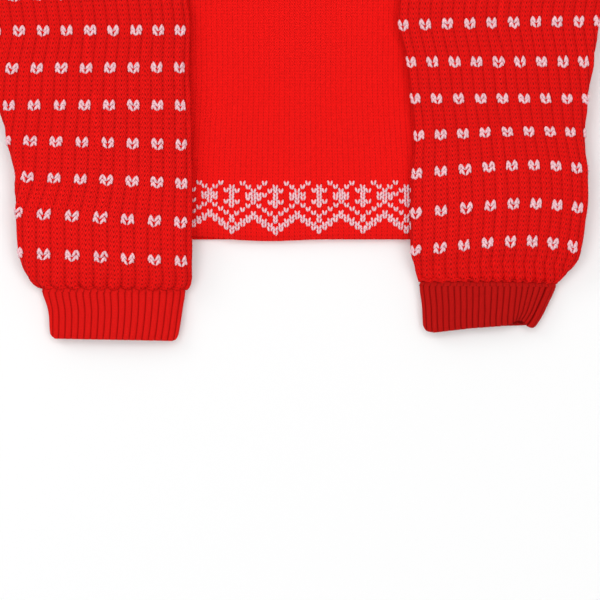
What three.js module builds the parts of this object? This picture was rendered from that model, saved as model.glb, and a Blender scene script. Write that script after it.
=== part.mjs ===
// A knitted jumper lying flat on its back, front panel up. Both sleeves are folded over the front,
// so that they run down beside its middle and their cuffs lie just past the hem.
//
// Millimetres. X runs across, Y from the hem to the shoulders and Z up from the surface it lies on.
// The layout is drawn from the middle of the hem, and the finished group is moved as a whole so
// that its origin is at the bottom centre of its bounding box. Left is -X and right is +X.
import * as THREE from 'three';
import { mergeVertices } from 'three/addons/utils/BufferGeometryUtils.js';

const { lerp, smoothstep, clamp } = THREE.MathUtils;

// ---- Driving dimensions -------------------------------------------------------------------------

const GAP = 0.3; // left between two pieces that touch
const FABRIC = 3; // one layer of the body's plain knitting
const RIB = 3; // one layer of the sleeves' and cuffs' ribbed knitting
const SEAM = 2.2; // width of a linked seam

const HEM_HALF_WIDTH = 205;
const CHEST_HALF_WIDTH = 222;
const UNDERARM_Y = 350;
const SHOULDER_HALF_WIDTH = 203;
const SHOULDER_Y = 553;
const TORSO_AIR = 5.7; // between the panels at their middle
const ARMHOLE_AIR = 4.5; // between the panels' edges at the middle of an armhole

const NECK_HALF_WIDTH = 92;
const NECK_Y = 578; // where a shoulder line meets the neckline
const FRONT_NECK_DROP = 70;
const BACK_NECK_DROP = 18;
const NECKBAND_HEIGHT = 25;
const NECKBAND_RISE = 8; // of the band's opening edge above the neckline at the shoulders

const SLEEVE_THICKNESS = 15.4; // a flattened sleeve, from its lower to its upper face
const WRIST_THICKNESS = 13;
const CUFF_THICKNESS = 13;
const HEAD_AT_SHOULDER = [19, 3]; // from the shoulder tip to the fold, outwards and up
const HEAD_AT_UNDERARM = [76, -24]; // from the underarm to the fold
const WRIST_HEIGHT = 0.8; // of a wrist's lower face above the surface
const CUFF_HEIGHT = 0.5; // of a cuff's lower face at its opening

const SLEEVE_SEAM_RADIUS = 1.4;
const CUFF_SEAM_RADIUS = 1.1;
const SEAM_INSET = 4; // from the inside of a tube's edge to the middle of the seam along it

const LABEL = 0.7; // thickness of woven tape
const NECK_LABEL = [46, 20];
const CARE_LABEL = [34, 45];
const CARE_LABEL_Y = 110;

// Each sleeve as it lies folded: where its inner and its outer edge are, as [outwards, y], from the
// upper arm to the wrist, how high its lower face lies there, and how thick it is. The fold itself
// comes before these. The cuff goes on from the last of them to its opening.
const TORSO_TOP = 2 * FABRIC + GAP + TORSO_AIR;
const ON_TORSO = TORSO_TOP + 2 * GAP;
const OVER_HEM = { low: lerp(WRIST_HEIGHT, ON_TORSO, 0.32), thickness: SLEEVE_THICKNESS - 1 };
const WRIST = { low: WRIST_HEIGHT, thickness: WRIST_THICKNESS };
const LYING = { low: ON_TORSO, thickness: SLEEVE_THICKNESS };
const SLEEVES = {
  left: {
    sign: -1,
    keys: [
      { inner: [108, 262], outer: [258, 216], ...LYING },
      { inner: [85.4, 179], outer: [242, 179], ...LYING },
      { inner: [82.5, 110], outer: [226.5, 105], ...LYING },
      { inner: [81.5, 45], outer: [213.5, 45], ...LYING },
      { inner: [81.5, 0], outer: [212.6, 0], ...LYING },
      { inner: [83, -29], outer: [203.5, -29], ...OVER_HEM },
      { inner: [86.5, -37.5], outer: [193, -37.5], ...WRIST },
    ],
    cuff: { inner: [92, -76], outer: [186.5, -75] },
  },
  right: {
    sign: 1,
    keys: [
      { inner: [98, 266], outer: [248, 222], ...LYING },
      { inner: [73.5, 179], outer: [229, 179], ...LYING },
      { inner: [80.5, 115], outer: [218, 113], ...LYING },
      { inner: [83.5, 60], outer: [214.5, 60], ...LYING },
      { inner: [82, 0], outer: [212.5, 0], ...LYING },
      { inner: [86.5, -24], outer: [201.5, -24], ...OVER_HEM },
      { inner: [89, -31], outer: [193, -33], ...WRIST },
    ],
    cuff: { inner: [94, -69.5], outer: [180, -65.5] },
  },
};

// ---- Mesh helpers -------------------------------------------------------------------------------

const TUBE_SIDES = 28;
const TUBE_STEP = 30; // longest stretch of a tube between two sections
const SQUARENESS = 0.75; // of a tube's section: 1 is an ellipse, and less is squarer

// A closed three.js shape with its shared vertices merged and each of them moved by place().
function formed(geometry, place) {
  geometry.deleteAttribute('normal');
  geometry.deleteAttribute('uv');
  const body = mergeVertices(geometry);
  const position = body.attributes.position;
  const point = new THREE.Vector3();
  for (let i = 0; i < position.count; i++) {
    point.fromBufferAttribute(position, i);
    place(point);
    position.setXYZ(i, point.x, point.y, point.z);
  }
  body.computeVertexNormals();
  return body;
}

// A closed ring: along 0 to 1 from one end to the other in rows, turn from 0 to 2 pi round it, and
// outside false on its inner wall. place(turn, along, outside, point) puts each vertex.
function ring(rows, sides, place) {
  const profile = [];
  for (let row = 0; row <= rows; row++) profile.push(new THREE.Vector2(2, row));
  for (let row = rows; row >= 0; row--) profile.push(new THREE.Vector2(1, row));
  profile.push(profile[0].clone());
  return formed(new THREE.LatheGeometry(profile, sides), (point) => {
    const turn = Math.atan2(point.x, point.z);
    const outside = Math.hypot(point.x, point.z) > 1.5;
    place(turn, Math.round(point.y), outside, point);
  });
}

// A hollow flattened tube through sections. A section runs from p to q, two points of the plan, and
// from low to high.
function tube(sections, wall) {
  const squared = (value) => Math.sign(value) * Math.abs(value) ** SQUARENESS;
  return ring(sections.length - 1, TUBE_SIDES, (turn, row, outside, point) => {
    const { p, q, low, high } = sections[row];
    const inset = outside ? 0 : wall;
    const halfWidth = p.distanceTo(q) / 2 - inset;
    const halfHeight = (high - low) / 2 - inset;
    const across = q.clone().sub(p).normalize().multiplyScalar(halfWidth * squared(Math.cos(turn)));
    point.x = (p.x + q.x) / 2 + across.x;
    point.y = (p.y + q.y) / 2 + across.y;
    point.z = (low + high) / 2 + halfHeight * squared(Math.sin(turn));
  });
}

// The geometry with its faces turned round if they point inwards, as a mirrored shape's do.
function facingOut(geometry) {
  const position = geometry.attributes.position;
  const index = geometry.index;
  const corners = [new THREE.Vector3(), new THREE.Vector3(), new THREE.Vector3()];
  let volume = 0;
  for (let i = 0; i < index.count; i += 3) {
    corners.forEach((corner, k) => corner.fromBufferAttribute(position, index.getX(i + k)));
    volume += corners[0].dot(corners[1].clone().cross(corners[2]));
  }
  if (volume < 0) {
    for (let i = 0; i < index.count; i += 3) {
      const first = index.getX(i);
      index.setX(i, index.getX(i + 1));
      index.setX(i + 1, first);
    }
  }
  geometry.computeVertexNormals();
  return geometry;
}

// The strand of a seam inside a tube's outer edge, through the tube's own sections. A flatter tube is
// as high as the strand only further in.
function strand(sections, wall, radius) {
  const rows = sections.length - 1;
  const seated = ({ p, q, low, high }) => {
    const rise = ((radius + 1.5 * GAP) / ((high - low) / 2 - wall)) ** (1 / SQUARENESS);
    const narrowed = 1 - Math.sqrt(1 - rise ** 2) ** SQUARENESS;
    return wall + Math.max(SEAM_INSET, (p.distanceTo(q) / 2 - wall) * narrowed);
  };
  return formed(new THREE.CylinderGeometry(radius, radius, rows, 8, rows), (point) => {
    const at = sections[Math.round(point.y + rows / 2)];
    const { p, q, low, high } = at;
    const inwards = p.clone().sub(q).normalize().multiplyScalar(seated(at) + point.x);
    const height = point.z;
    point.set(q.x + inwards.x, q.y + inwards.y, (low + high) / 2 + height);
  });
}

// A straight bar between two points of the plan, from near to far off to the left of its way.
function bar(from, to, near, far, low, high) {
  const way = to.clone().sub(from);
  const off = new THREE.Vector2(-way.y, way.x).normalize();
  return formed(new THREE.BoxGeometry(1, 1, 1), (point) => {
    const along = point.x + 0.5;
    const aside = point.y > 0 ? far : near;
    point.x = from.x + way.x * along + off.x * aside;
    point.y = from.y + way.y * along + off.y * aside;
    point.z = point.z > 0 ? high : low;
  });
}

const group = new THREE.Group();
const RED = 0xd8201d;
const LABEL_WHITE = 0xf2efe8;

function add(name, geometry, color = RED, roughness = 0.95) {
  const material = new THREE.MeshStandardMaterial({ color, roughness, metalness: 0 });
  const mesh = new THREE.Mesh(geometry, material);
  mesh.name = name;
  group.add(mesh);
}

// ---- Torso panels -------------------------------------------------------------------------------

const SHOULDER_COLUMNS = 4;
const NECK_COLUMNS = 16;
const COLUMNS = 2 * SHOULDER_COLUMNS + NECK_COLUMNS;
const ROWS_TO_UNDERARM = 7;
const ROWS_OF_ARMHOLE = 6;
const ROWS = ROWS_TO_UNDERARM + ROWS_OF_ARMHOLE;

const shoulderTip = new THREE.Vector2(SHOULDER_HALF_WIDTH, SHOULDER_Y);
const underarm = new THREE.Vector2(CHEST_HALF_WIDTH, UNDERARM_Y);
const neckPoint = new THREE.Vector2(NECK_HALF_WIDTH, NECK_Y);

// Half the torso's width: straight side seams, then straight armholes.
function halfWidth(y) {
  if (y < UNDERARM_Y) return lerp(HEM_HALF_WIDTH, CHEST_HALF_WIDTH, y / UNDERARM_Y);
  const up = (y - UNDERARM_Y) / (SHOULDER_Y - UNDERARM_Y);
  return lerp(CHEST_HALF_WIDTH, SHOULDER_HALF_WIDTH, up);
}

// The neckline's angle at a column: pi at the left neck point, 0 at the right one.
const neckAngle = (column) => Math.PI * (1 - (column - SHOULDER_COLUMNS) / NECK_COLUMNS);

// A point of the neckline, or of the same curve moved into the opening.
function neckline(angle, drop, inwards = 0) {
  const x = (NECK_HALF_WIDTH - inwards) * Math.cos(angle);
  return new THREE.Vector2(x, NECK_Y - (drop - inwards) * Math.abs(Math.sin(angle)));
}

// The upper end of a panel's column, on a shoulder line or on the neckline.
function columnTop(column, neckDrop) {
  const fromSide = Math.min(column, COLUMNS - column);
  if (fromSide > SHOULDER_COLUMNS) return neckline(neckAngle(column), neckDrop);
  const top = shoulderTip.clone().lerp(neckPoint, fromSide / SHOULDER_COLUMNS);
  if (column < COLUMNS / 2) top.x = -top.x;
  return top;
}

// How far up its column a row is, with one row exactly at the underarms.
function rowShare(row) {
  const underarmShare = UNDERARM_Y / SHOULDER_Y;
  if (row <= ROWS_TO_UNDERARM) return (underarmShare * row) / ROWS_TO_UNDERARM;
  return lerp(underarmShare, 1, (row - ROWS_TO_UNDERARM) / ROWS_OF_ARMHOLE);
}

// The air between the panels: a cushion that closes at the side seams and the shoulder seams, and
// stays open at the hem, the neckline and the armholes.
function air(side, up, y) {
  const armhole = clamp((y - UNDERARM_Y) / (SHOULDER_Y - UNDERARM_Y), 0, 1);
  const atEdge = ARMHOLE_AIR * Math.sin(Math.PI * armhole);
  const neckSide = NECK_HALF_WIDTH / SHOULDER_HALF_WIDTH;
  const closing = smoothstep(Math.abs(side), 0.7 * neckSide, neckSide) * up ** 10;
  return lerp(TORSO_AIR, atEdge, side ** 4) * (1 - closing);
}

function panel(neckDrop, lift) {
  const box = new THREE.BoxGeometry(COLUMNS, ROWS, 1, COLUMNS, ROWS, 1);
  return formed(box, (point) => {
    const top = columnTop(Math.round(point.x + COLUMNS / 2), neckDrop);
    const up = rowShare(Math.round(point.y + ROWS / 2));
    const side = top.x / SHOULDER_HALF_WIDTH;
    const upper = point.z > 0;
    point.y = up * top.y;
    const toTop = top.x - side * halfWidth(top.y);
    point.x = side * halfWidth(point.y) + toTop * up ** 4;
    point.z = lift(side, up, point.y) + (upper ? FABRIC : 0);
  });
}

const SEAM_TOP = 2 * FABRIC + GAP; // where the panels lie on each other
const frontLift = (side, up, y) => FABRIC + GAP + air(side, up, y);

add('front_panel', panel(FRONT_NECK_DROP, frontLift));
add('back_panel', panel(BACK_NECK_DROP, () => 0));

// ---- Neckband -----------------------------------------------------------------------------------

// A strip of a tube pulled flat: its front half, from angle 0 to pi, follows the front panel, its
// back half lies on the surface, and it folds over beside both neck points.
function neckRing(plan) {
  return facingOut(ring(1, 2 * NECK_COLUMNS, (turn, row, outside, point) => {
    const folded = Math.abs(Math.sin(turn)) < 1e-6;
    const back = turn < 0 && !folded;
    const { x, y } = plan(turn, back ? BACK_NECK_DROP : FRONT_NECK_DROP, row);
    const side = (NECK_HALF_WIDTH * Math.cos(turn)) / SHOULDER_HALF_WIDTH;
    const front = frontLift(side, 1, NECK_Y);
    if (folded) point.set(x, y + (outside ? FABRIC / 2 : 0), SEAM_TOP / 2);
    else if (back) point.set(x, y, outside ? 0 : FABRIC);
    else point.set(x, y, front + (outside ? FABRIC : 0));
  }));
}

// The walls twist at the folds, and more so where the fabric is thicker or the back neckline flatter,
// so the band keeps at least twice the gap to its linking.
const twist = (0.039 * FABRIC * NECK_HALF_WIDTH) / BACK_NECK_DROP;
const bandStart = GAP + SEAM + Math.max(2 * GAP, twist);

add('neckband_linking', neckRing((angle, drop, row) => (
  neckline(angle, drop, row === 0 ? GAP : GAP + SEAM)
)));

add('neckband', neckRing((angle, drop, row) => {
  if (row === 0) return neckline(angle, drop, bandStart);
  const opening = neckline(angle, drop + NECKBAND_RISE, NECKBAND_HEIGHT);
  opening.y += NECKBAND_RISE;
  return opening;
}));

// ---- Torso seams --------------------------------------------------------------------------------

const mirrored = (point, sign) => new THREE.Vector2(sign * point.x, point.y);

function torsoSeams(name, sign) {
  const bottom = mirrored(new THREE.Vector2(HEM_HALF_WIDTH, 0), sign);
  const top = mirrored(underarm, sign);
  const upTo = 1 - (2 * GAP) / UNDERARM_Y;
  const sideEnd = bottom.clone().lerp(top, upTo);
  const tip = mirrored(shoulderTip, sign);
  const neck = mirrored(neckPoint, sign);
  // Going up the left of the torso, outwards is to the left, and on the right to the right.
  const near = -sign * GAP;
  const far = -sign * (GAP + SEAM);
  const sideSeam = bar(bottom, sideEnd, near, far, GAP, SEAM_TOP);
  const shoulder = [tip.clone().lerp(neck, 0.015), neck.clone().lerp(tip, 0.015)];
  const shoulderSeam = bar(...shoulder, near, far, GAP, SEAM_TOP);
  add(`${name}_side_seam`, facingOut(sideSeam));
  add(`${name}_shoulder_seam`, facingOut(shoulderSeam));
}

// ---- Sleeves ------------------------------------------------------------------------------------

const HINGE_Z = GAP + SLEEVE_THICKNESS + GAP;
const ARMHOLE_TOP = SEAM_TOP + ARMHOLE_AIR;

const section = (p, q, low, high) => ({ p, q, low, high });
const moved = ({ p, q, low, high }, way) => section(p.clone().add(way), q.clone().add(way), low, high);

// The same section with both its ends moved off to its left by distance.
function offset(from, distance) {
  const line = from.q.clone().sub(from.p).normalize();
  return moved(from, new THREE.Vector2(-line.y, line.x).multiplyScalar(distance));
}

function between(a, b, share) {
  return section(
    a.p.clone().lerp(b.p, share),
    a.q.clone().lerp(b.q, share),
    lerp(a.low, b.low, share),
    lerp(a.high, b.high, share),
  );
}

// Sections along smooth edges through the keys, with heights straight between them.
function along(keys) {
  const edge = (end) => new THREE.CatmullRomCurve3(
    keys.map((key) => new THREE.Vector3(key[end].x, key[end].y, 0)),
    false,
    'catmullrom',
    0.5,
  );
  const edges = { p: edge('p'), q: edge('q') };
  const last = keys.length - 1;
  const sections = [];
  for (let k = 0; k < last; k++) {
    const middle = ({ p, q }) => p.clone().add(q).multiplyScalar(0.5);
    const steps = Math.ceil(middle(keys[k]).distanceTo(middle(keys[k + 1])) / TUBE_STEP);
    for (let step = k === 0 ? 0 : 1; step <= steps; step++) {
      const share = (k + step / steps) / last;
      const at = (end) => edges[end].getPoint(share);
      const height = between(keys[k], keys[k + 1], step / steps);
      const p = new THREE.Vector2(at('p').x, at('p').y);
      const q = new THREE.Vector2(at('q').x, at('q').y);
      sections.push(section(p, q, height.low, height.high));
    }
  }
  return sections;
}

function sleeve(name, { sign, keys, cuff }) {
  const plan = ([x, y]) => new THREE.Vector2(sign * x, y);
  const outwards = sign; // the left of shoulder to underarm is +X

  // The armhole's seam and the sleeve head, which goes on flat to the fold.
  const tip = mirrored(shoulderTip, sign);
  const arm = mirrored(underarm, sign);
  const armhole = section(tip, arm, GAP, ARMHOLE_TOP);
  const seamStart = offset(armhole, outwards * GAP);
  const seamEnd = offset(armhole, outwards * (GAP + SEAM));
  const headStart = offset(armhole, outwards * (2 * GAP + SEAM));
  const fold = section(
    tip.clone().add(plan(HEAD_AT_SHOULDER)),
    arm.clone().add(plan(HEAD_AT_UNDERARM)),
    GAP,
    GAP + SLEEVE_THICKNESS,
  );
  const headEnd = offset(fold, -outwards * GAP);
  const headSections = [0, 1 / 3, 2 / 3, 1].map((share) => between(headStart, headEnd, share));
  add(`${name}_armhole_seam`, facingOut(tube([seamStart, seamEnd], RIB)));
  add(`${name}_sleeve_head`, facingOut(tube(headSections, RIB)));

  // The sleeve past the fold, over the head and down the front of the torso to the wrist: one tube to
  // the elbow and one on the forearm.
  const over = { ...headEnd, low: HINGE_Z + GAP, high: HINGE_Z + GAP + SLEEVE_THICKNESS };
  const rest = keys.map(({ inner, outer, low, thickness }) => (
    section(plan(inner), plan(outer), low, low + thickness)
  ));
  const sleeveSections = along([over, ...rest]);
  const wrist = sleeveSections.at(-1);
  const elbow = sleeveSections.findIndex(({ p }) => p.y < keys[1].inner[1] + 1);
  const belowElbow = moved(sleeveSections[elbow], new THREE.Vector2(0, -GAP));
  const forearm = [belowElbow, ...sleeveSections.slice(elbow + 1)];
  add(`${name}_sleeve`, facingOut(tube(sleeveSections.slice(0, elbow + 1), RIB)));
  add(`${name}_sleeve_forearm`, facingOut(tube(forearm, RIB)));
  const seamed = sleeveSections.slice(1, -1);
  add(`${name}_sleeve_seam`, facingOut(strand(seamed, RIB, SLEEVE_SEAM_RADIUS)));

  // The linked seam at the wrist, then the cuff to its opening.
  const opening = section(
    plan(cuff.inner),
    plan(cuff.outer),
    CUFF_HEIGHT,
    CUFF_HEIGHT + CUFF_THICKNESS,
  );
  const down = opening.p.clone().add(opening.q).sub(wrist.p).sub(wrist.q).normalize();
  const past = (distance) => moved(wrist, down.clone().multiplyScalar(distance));
  const cuffStart = past(2 * GAP + SEAM);
  const cuffSections = [0, 0.5, 1].map((share) => between(cuffStart, opening, share));
  add(`${name}_cuff_linking`, facingOut(tube([past(GAP), past(GAP + SEAM)], RIB)));
  add(`${name}_cuff`, facingOut(tube(cuffSections, RIB)));
  add(`${name}_cuff_seam`, facingOut(strand(cuffSections, RIB, CUFF_SEAM_RADIUS)));
}

for (const [name, parts] of Object.entries(SLEEVES)) {
  torsoSeams(name, parts.sign);
  sleeve(name, parts);
}

// ---- Labels -------------------------------------------------------------------------------------

// A woven label lying on the inside of the back panel, centred at x and y.
function label(name, [width, height], x, y) {
  const geometry = new THREE.BoxGeometry(width, height, LABEL);
  geometry.translate(x, y, FABRIC + GAP + LABEL / 2);
  add(name, geometry, LABEL_WHITE, 0.7);
}

label('neck_label', NECK_LABEL, 0, NECK_Y - BACK_NECK_DROP - 3 - NECK_LABEL[1] / 2);

// The care label lies just inside the left side seam, where there is air enough for it at both ends.
const nextColumn = columnTop(COLUMNS - 1, 0).x / SHOULDER_HALF_WIDTH;
const airAtColumn = TORSO_AIR * (1 - nextColumn ** 4);
const airyShare = 1 - ((LABEL + GAP / 3) * (1 - nextColumn)) / airAtColumn;
const careLabelSide = Math.min(
  0.95 * halfWidth(CARE_LABEL_Y),
  airyShare * halfWidth(CARE_LABEL_Y - CARE_LABEL[1] / 2),
);
label('care_label', CARE_LABEL, -careLabelSide + CARE_LABEL[0] / 2, CARE_LABEL_Y);

// ---- Origin at the bottom centre ----------------------------------------------------------------

const box = new THREE.Box3().setFromObject(group);
const middle = box.getCenter(new THREE.Vector3());
group.position.set(-middle.x, -middle.y, -box.min.z);

export default group;
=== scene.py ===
import math

import bpy
import numpy as np
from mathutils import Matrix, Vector


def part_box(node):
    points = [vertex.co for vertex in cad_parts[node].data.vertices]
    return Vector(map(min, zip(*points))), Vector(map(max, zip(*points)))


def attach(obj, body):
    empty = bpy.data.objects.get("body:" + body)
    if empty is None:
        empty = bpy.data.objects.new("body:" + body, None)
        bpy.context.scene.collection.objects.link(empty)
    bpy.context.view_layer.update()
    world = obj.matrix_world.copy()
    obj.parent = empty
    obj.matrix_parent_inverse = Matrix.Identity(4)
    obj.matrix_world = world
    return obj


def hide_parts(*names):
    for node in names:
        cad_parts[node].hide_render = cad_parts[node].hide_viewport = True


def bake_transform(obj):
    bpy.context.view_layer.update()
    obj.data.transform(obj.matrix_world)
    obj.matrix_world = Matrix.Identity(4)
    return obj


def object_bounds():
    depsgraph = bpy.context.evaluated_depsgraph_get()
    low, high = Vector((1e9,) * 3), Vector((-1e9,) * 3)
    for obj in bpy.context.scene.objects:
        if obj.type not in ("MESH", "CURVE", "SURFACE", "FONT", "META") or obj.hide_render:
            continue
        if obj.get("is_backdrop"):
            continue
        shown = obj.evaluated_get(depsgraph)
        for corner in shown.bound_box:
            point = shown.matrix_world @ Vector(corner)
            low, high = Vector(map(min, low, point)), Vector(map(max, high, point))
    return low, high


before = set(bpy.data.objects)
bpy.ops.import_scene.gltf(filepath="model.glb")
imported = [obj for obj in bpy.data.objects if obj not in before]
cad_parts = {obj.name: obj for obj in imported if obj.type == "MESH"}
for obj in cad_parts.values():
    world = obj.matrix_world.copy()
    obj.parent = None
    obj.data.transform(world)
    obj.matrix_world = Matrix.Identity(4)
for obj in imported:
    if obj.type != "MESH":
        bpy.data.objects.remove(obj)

cad_low, cad_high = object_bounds()
bpy.ops.object.select_all(action="DESELECT")

# A knitted jumper lying flat on its back with both sleeves folded over its front. Lengths are in
# millimetres from the middle of the hem, X across and Y up the body, until a mesh is made.
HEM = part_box("front_panel")[0].y * 1000
rng = np.random.default_rng(8)  # for the white yarn's unevenness

# ---- Sizes ----

WALES = 100  # across a body panel
BAND_COURSE = 2.78  # height of a course with two yarns in it
COURSE = 2.4  # height of a course of the plain stocking stitch
BAND_TOP = 45.0
COURSE_START = 0.53  # share of a course by which the first one starts below the hem
RISE = 1.45  # courses that a leg of a stitch climbs
FABRIC = 3.0  # thickness of a panel
GAP = 0.3  # between neighbouring pieces
SEAM = 2.2  # width of a linked seam
PANEL_WALL = 2.4  # thickness of the knitting itself
FLOOR_CLEAR = 0.15  # least height of knitting above the ground

HEM_HALF_WIDTH = 205.0
CHEST_HALF_WIDTH = 222.0
UNDERARM_Y = 350.0
SHOULDER_HALF_WIDTH = 203.0
SHOULDER_Y = 553.0
TORSO_AIR = 5.7  # between the panels, in the middle of the body
ARMHOLE_AIR = 4.5  # and halfway up the armholes
NECK_HALF_WIDTH = 92.0
NECK_Y = 578.0
FRONT_NECK_DROP = 70.0
BACK_NECK_DROP = 18.0
NECKBAND_HEIGHT = 25.0
NECKBAND_RISE = 8.0
NECK_WALL = 2.3
SEAM_TOP = 2 * FABRIC + GAP  # where two panels lie on each other

SLEEVE_WALES = 68  # around a sleeve, two to a rib
SLEEVE_WALL = 2.3
HINGE_Z = 16.0
FOLD_SHOULDER = np.array([222.0, 556.0])
FOLD_UNDERARM = np.array([298.0, 326.0])
FOLD_CENTRE = 4.9  # from the hinge to the middle of the sleeve where it turns over
FOLD_HALF = 4.5  # half the sleeve's thickness there

CUFF_COURSE = 2.25
CUFF_RIBS = 43  # around a cuff
CUFF_WALL = 2.2

ON_BODY = (12.6, 28.0)  # a sleeve's lower and upper face where it lies on the body

# A sleeve from the wrist up. A key holds its inner edge (x, y), its outer edge (x, y), its lower and
# its upper face. By course, first_wale is the wale at the inner edge, shown how many ribs the face
# has, fan how much wider they lie towards the outer edge, and bulge how far the middle of the course
# lies above its ends. course_at holds which course lies how far from the wrist.
SLEEVES = {
    "left": dict(
        sign=-1,
        keys=[
            (90.5, -36.5, 189, -36, 3.2, 11.8),
            (86, -39.3, 194.6, -38.4, 0.9, 14.6),
            (81.8, -33, 204.8, -30, 1.7, 19.4),
            (80.6, -17.5, 211.7, -11, 6.8, 24.6),
            (80.3, 11, 213.9, 19, 12.6, 27.8),
            (80.3, 40, 215, 46, *ON_BODY),
            (80.6, 69.5, 220.2, 73, *ON_BODY),
            (81.4, 99, 226.7, 99, *ON_BODY),
            (82.4, 127.5, 232.8, 126.5, *ON_BODY),
            (84.4, 181, 243, 176, *ON_BODY),
            (108, 262, 258, 216, *ON_BODY),
        ],
        first_wale=[(1, -1), (9, -1.8)],
        shown=[
            (1, 10.9), (2.8, 11.7), (5.2, 12.5), (9.2, 13.2), (17, 13.3), (25, 14.4), (33, 15.1),
            (41, 16.2), (49, 17.1), (57, 18.4), (66, 18.6), (100, 17.5), (400, 17),
        ],
        fan=[(0, 0.07), (400, 0.07)],
        bulge=[(0, 0), (400, 0)],
        course_at=[(0, 1), (30.1, 9.2), (60.2, 17.2), (201, 57.2), (1247, 357.2)],
    ),
    "right": dict(
        sign=1,
        keys=[
            (93.5, -30.5, 188, -32, 3.2, 11.8),
            (89.4, -33.3, 193, -34.6, 0.9, 14.4),
            (85, -19, 206.5, -20, 4.2, 20.5),
            (82.3, -10, 211.6, -9, 8.2, 25),
            (82.2, 20.5, 216.4, 23, *ON_BODY),
            (82.6, 49, 216.6, 52, *ON_BODY),
            (84.6, 78, 214.2, 80, *ON_BODY),
            (82, 106, 216.8, 106, *ON_BODY),
            (79, 133, 221, 133, *ON_BODY),
            (73.5, 179, 229, 179, *ON_BODY),
            (98, 266, 248, 222, *ON_BODY),
        ],
        first_wale=[(0.6, 0.9), (9.2, -0.8)],
        shown=[
            (0.6, 12.3), (2.8, 13.5), (5.2, 15), (9.2, 16), (25, 16.1), (33, 16.4), (41, 17),
            (49, 17.9), (57, 19), (66, 19.2), (100, 17.5), (400, 17),
        ],
        fan=[(0, -0.15), (18, -0.15), (33, -0.06), (41, -0.03), (400, -0.03)],
        bulge=[(0, 0), (9, 6.6), (25, 4.7), (33, 1.9), (41, 0), (400, 0)],
        course_at=[
            (0, 0.6), (32.2, 9.2), (61, 17.2), (91, 25.2), (119, 33.2), (145.5, 41.2),
            (173, 49.2), (202.4, 57.2), (1249, 357.2),
        ],
    ),
}

# ---- Meshes ----


def smooth(value):
    value = np.clip(value, 0, 1)
    return value * value * (3 - 2 * value)


def along(points, values):
    """Straight between the given points (where, value)."""
    where, value = zip(*points)
    return np.interp(values, where, value)


def run_of(points):
    """How far along its line each point lies from the first."""
    return np.concatenate([[0], np.cumsum(np.linalg.norm(np.diff(points, axis=0), axis=1))])


def squared(value, power=0.75):
    """A sine or cosine bent so that it draws a rounded box instead of a circle."""
    return np.sign(value) * np.abs(value) ** power


def through(keys, shares):
    """Rows of numbers on smooth curves through the keys, at shares from 0 to 1 of the way."""
    keys = np.asarray(keys, float)
    padded = np.vstack([2 * keys[0] - keys[1], keys, 2 * keys[-1] - keys[-2]])
    place = shares * (len(keys) - 1)
    first = np.minimum(place.astype(int), len(keys) - 2)
    t = (place - first)[:, None]
    a, b, c, d = (padded[first + k] for k in range(4))
    cubic = (2 * a - 5 * b + 4 * c - d) * t**2 + (3 * b - a - 3 * c + d) * t**3
    return 0.5 * (2 * b + (c - a) * t + cubic)


def normals_of(points, around):
    """The unit normal at each point of a grid, on the side its rows and columns turn to."""
    if around:
        across = np.roll(points, -1, 1) - np.roll(points, 1, 1)
    else:
        across = np.gradient(points, axis=1)
    normals = np.cross(across, np.gradient(points, axis=0))
    return normals / np.maximum(np.linalg.norm(normals, axis=2, keepdims=True), 1e-9)


def outward(points):
    """The normals of a closed tube's grid, out of the tube, and whether they had to be turned."""
    normals = normals_of(points, True)
    turned = ((points - points.mean(1, keepdims=True)) * normals).sum() < 0
    return (-normals if turned else normals), turned


def unit(vectors):
    return vectors / np.linalg.norm(vectors, axis=-1, keepdims=True)


def tube_faces(index):
    """The sides between a tube's rings and its two caps, from the rings' vertex numbers."""
    following = np.roll(index, -1, 1)
    sides = np.stack([index[:-1], following[:-1], following[1:], index[1:]], 2)
    return sides.reshape(-1, 4).tolist() + [index[0][::-1].tolist(), index[-1].tolist()]


def select(piece):
    bpy.context.view_layer.objects.active = piece
    piece.select_set(True)


def new_object(name, data):
    made = bpy.data.objects.new(name, data)
    bpy.context.scene.collection.objects.link(made)
    return made


def new_piece(name, vertices, faces, material):
    """A mesh object in the frame, from millimetres of the layout."""
    mesh = bpy.data.meshes.new(name)
    mesh.from_pydata(((vertices + (0, HEM, 0)) / 1000).tolist(), [], faces)
    mesh.materials.append(material)
    return new_object(name, mesh)


def grid_of(wales, courses):
    return np.stack(np.broadcast_arrays(wales, courses), 2)


def cloth(name, points, stitches, material, thickness, around=False, turned=False):
    """Knitting over a grid of points, a course up and a wale across, with its stitches as its UV map.
    Around, the last column joins the first, and stitches has one column more than points."""
    rows, columns = points.shape[:2]
    index = np.arange(rows * columns).reshape(rows, columns)
    if around:
        index = np.hstack([index, index[:, :1]])
    corners = [(0, 0), (0, 1), (1, 1), (1, 0)]
    if turned:
        corners.reverse()
    high, wide = index.shape[0] - 1, index.shape[1] - 1

    def of_faces(grid):
        return np.stack([grid[r : r + high, c : c + wide] for r, c in corners], 2)

    faces = of_faces(index).reshape(-1, 4).tolist()
    piece = new_piece(name, points.reshape(-1, 3), faces, material)
    uv_map = piece.data.uv_layers.new(name="Stitches")
    uv_map.data.foreach_set("uv", of_faces(stitches).astype(np.float32).ravel())
    # The thickness goes inwards from the outside, and closes the edges.
    wall = piece.modifiers.new("wall", "SOLIDIFY")
    wall.thickness = thickness / 1000
    wall.offset = -1
    select(piece)
    bpy.ops.object.modifier_apply(modifier="wall")
    bpy.ops.object.shade_smooth_by_angle(angle=math.radians(75))
    piece.select_set(False)
    # Where the cloth turns in tightly, its inside would reach past the surface that it lies on.
    for vertex in piece.data.vertices:
        vertex.co.z = max(vertex.co.z, FLOOR_CLEAR / 1000)
    return piece


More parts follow.
